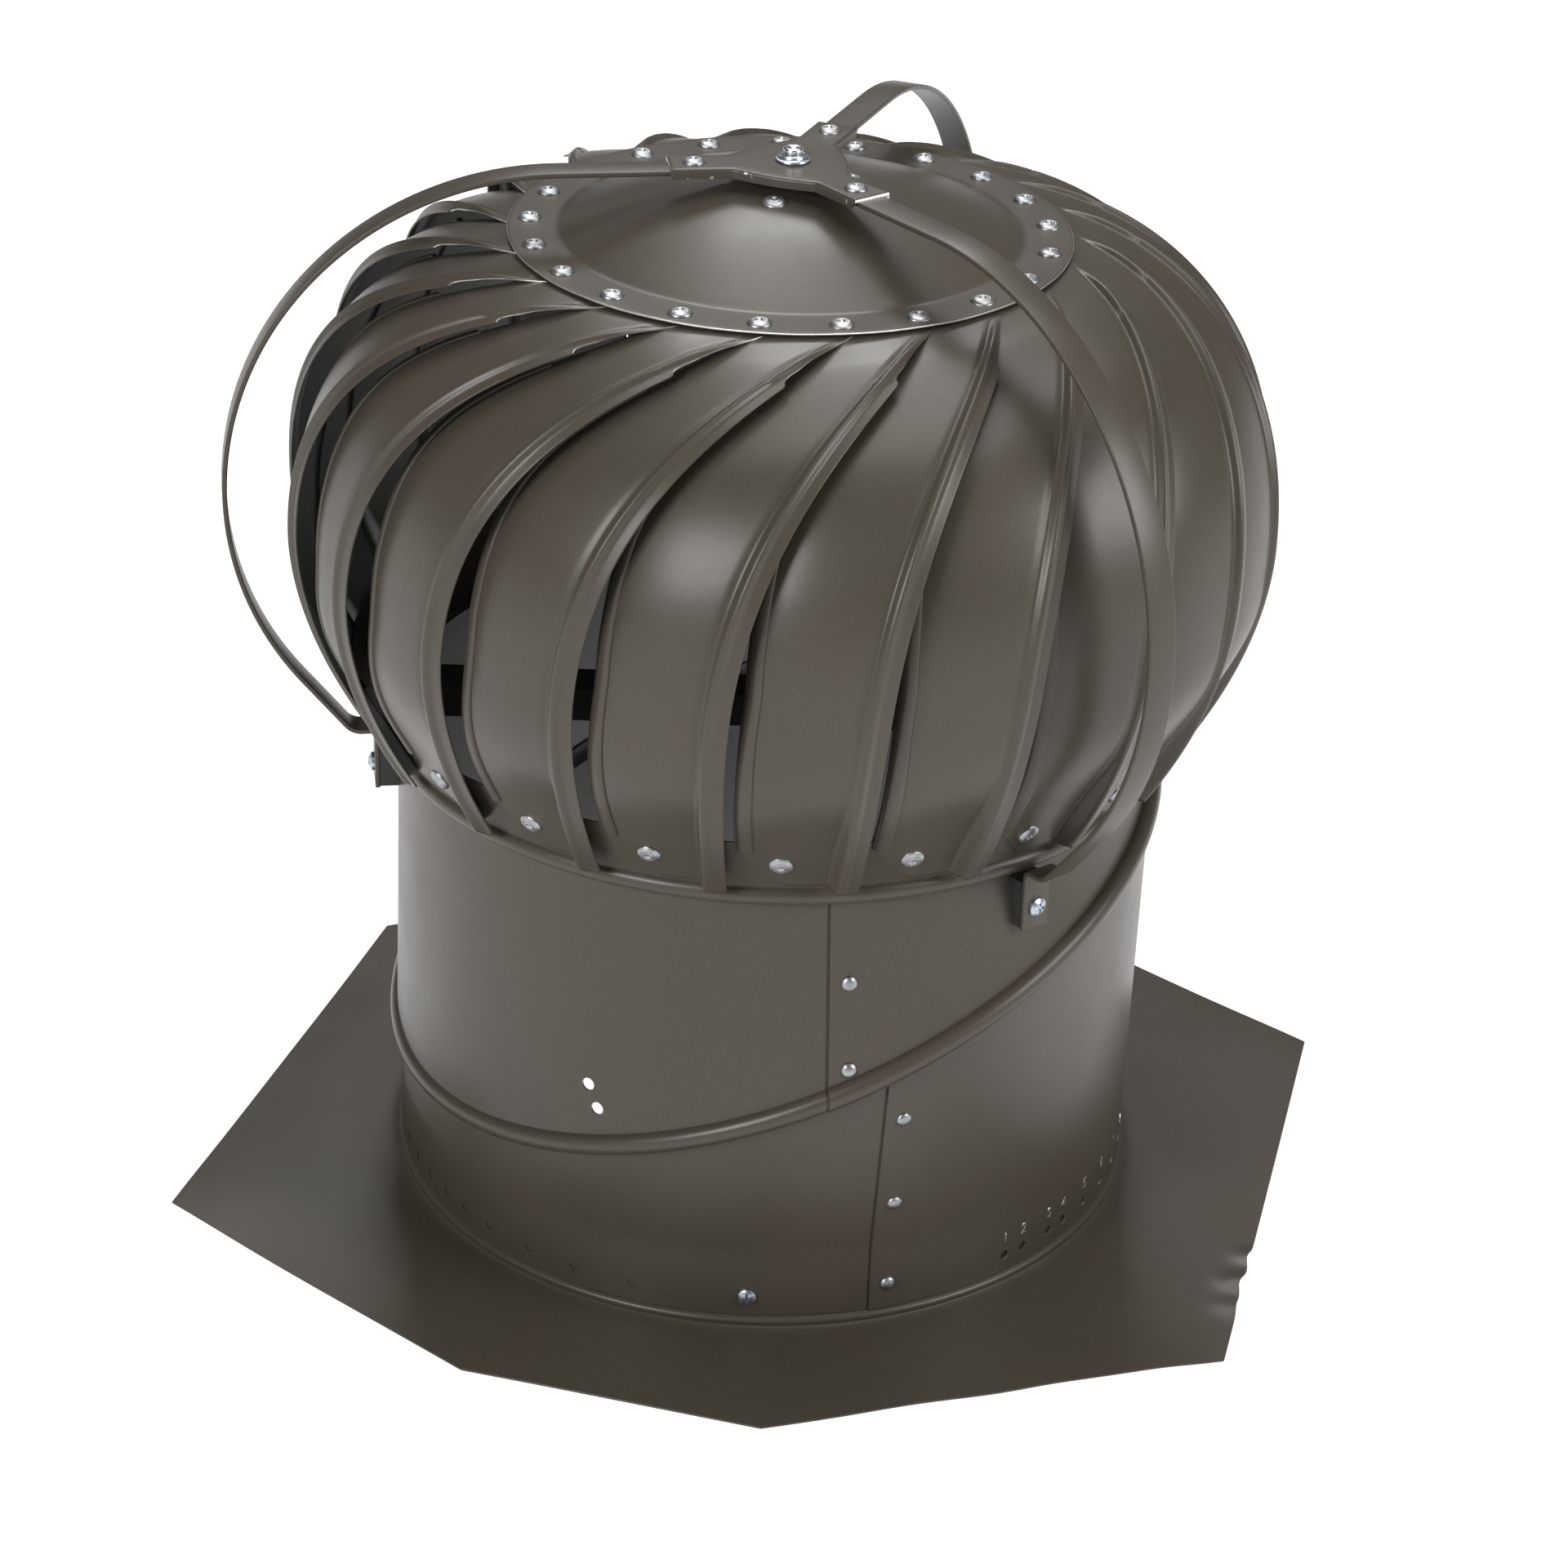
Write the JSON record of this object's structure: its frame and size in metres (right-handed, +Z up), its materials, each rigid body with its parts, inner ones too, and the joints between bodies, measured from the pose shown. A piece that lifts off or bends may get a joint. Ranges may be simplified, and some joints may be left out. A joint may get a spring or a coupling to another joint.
{
  "type": "roof turbine vent",
  "caption": "Externally braced wind turbine roof vent: swept spinning blades over a two-piece slanted swivel collar on a flat roof flashing.",
  "frame": {"origin": "centre of the throat on the underside of the flashing plate", "axes": "+Z up along the turbine's spindle; the swivel collar's high side is 15 degrees from +X towards +Y; the pitch holes and seams face -Y"},
  "size_m": [0.494, 0.45, 0.4474],
  "materials": {
    "paint": "satin",
    "rivet": "satin",
    "zinc": "satin",
    "spacer": "matte",
    "bearing": "matte"
  },
  "bodies": {
    "base": {"flashing": "paint"},
    "lower_collar": {"lower_collar": "paint", "lower_seam_rivets": "rivet", "clamp_screw": "zinc"},
    "upper_collar": {"upper_collar": "paint", "upper_seam_rivets": "rivet", "cross_bar": "paint", "cross_bar_rivets": "rivet", "lower_bearing": "bearing", "thrust_ball": "zinc", "brace_arm_1": "paint", "brace_arm_2": "paint", "brace_arm_3": "paint", "brace_spacer_1": "spacer", "brace_spacer_2": "spacer", "brace_spacer_3": "spacer", "brace_foot_screws": "zinc", "brace_hub_plate": "paint", "brace_hub_rivets": "rivet", "upper_bush": "bearing"},
    "turbine": {"lower_ring": "paint", "blade_01": "paint", "blade_02": "paint", "blade_03": "paint", "blade_04": "paint", "blade_05": "paint", "blade_06": "paint", "blade_07": "paint", "blade_08": "paint", "blade_09": "paint", "blade_10": "paint", "blade_11": "paint", "blade_12": "paint", "blade_13": "paint", "blade_14": "paint", "blade_15": "paint", "blade_16": "paint", "blade_17": "paint", "blade_18": "paint", "blade_19": "paint", "blade_20": "paint", "blade_21": "paint", "blade_foot_rivets": "rivet", "crown": "paint", "crown_rivets": "rivet", "rotor_hub": "zinc", "rotor_hub_rivets": "rivet", "spindle": "zinc", "spindle_retainer": "zinc"}
  },
  "joints": [
    {"name": "base_swivel", "type": "hinge", "parent": "base", "child": "lower_collar", "pos_m": [0, 0, 0.0188], "axis": [0, 0, 1], "continuous": true},
    {"name": "pitch_swivel", "type": "hinge", "parent": "lower_collar", "child": "upper_collar", "pos_m": [0, 0, 0.1245], "axis": [-0.3696, -0.0991, 0.9239], "range_deg": [0, 180]},
    {"name": "turbine_spin", "type": "hinge", "parent": "upper_collar", "child": "turbine", "pos_m": [0, 0, 0.413], "axis": [0, 0, 1], "continuous": true}
  ]
}
